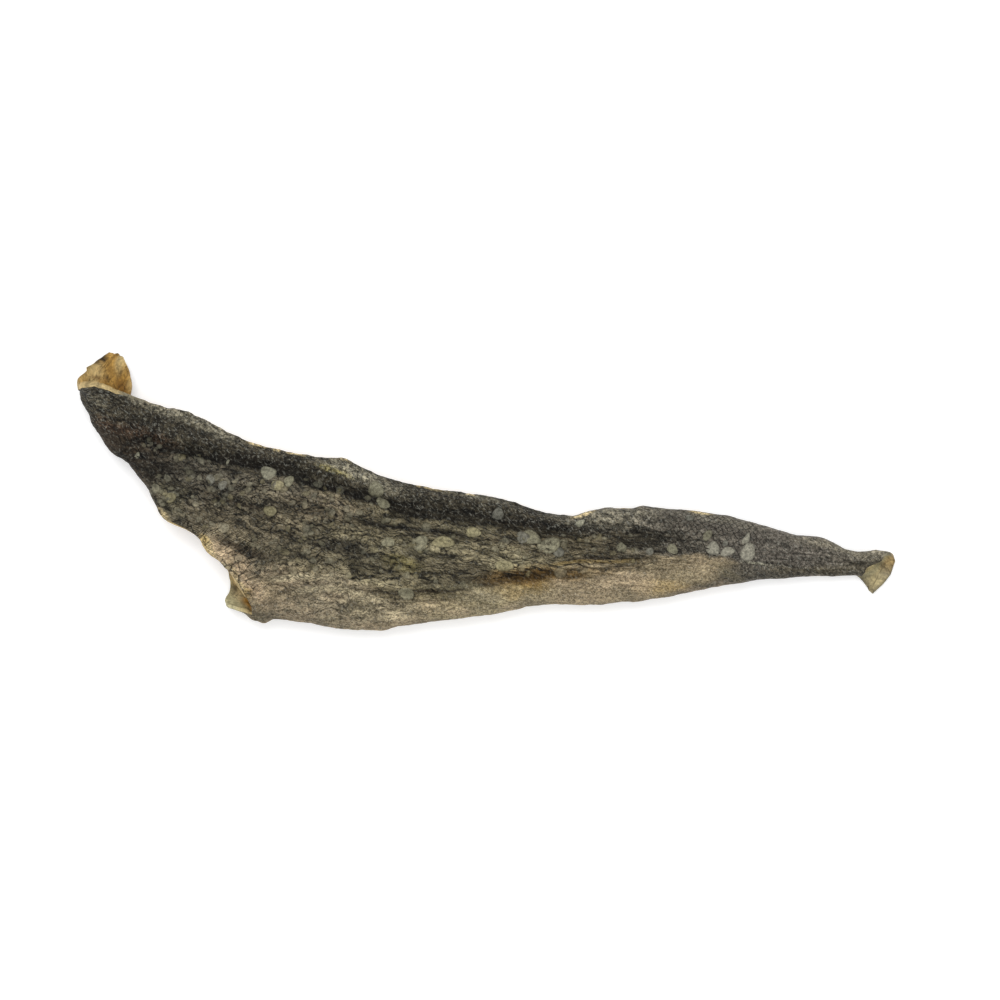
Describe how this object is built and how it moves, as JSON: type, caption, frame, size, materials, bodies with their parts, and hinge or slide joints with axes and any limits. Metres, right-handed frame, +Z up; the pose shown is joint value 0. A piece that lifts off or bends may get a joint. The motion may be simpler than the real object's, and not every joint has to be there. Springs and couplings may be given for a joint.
{
  "type": "dried haddock fillet",
  "caption": "Freeze-dried haddock fillet with its skin on: a thin curled sheet lying skin side up, belly edge and head end rolled under, tail closed to a tube.",
  "frame": {"origin": "under the middle of the fillet's box, on the surface it lies on", "axes": "+X towards the tail, +Y towards the back edge of the fish, +Z up, out of the skin side"},
  "size_m": [0.3014, 0.0824, 0.0174],
  "materials": {
    "fish_skin": "matte dried skin"
  },
  "bodies": {
    "root": {"fillet": "fish_skin"}
  },
  "joints": []
}
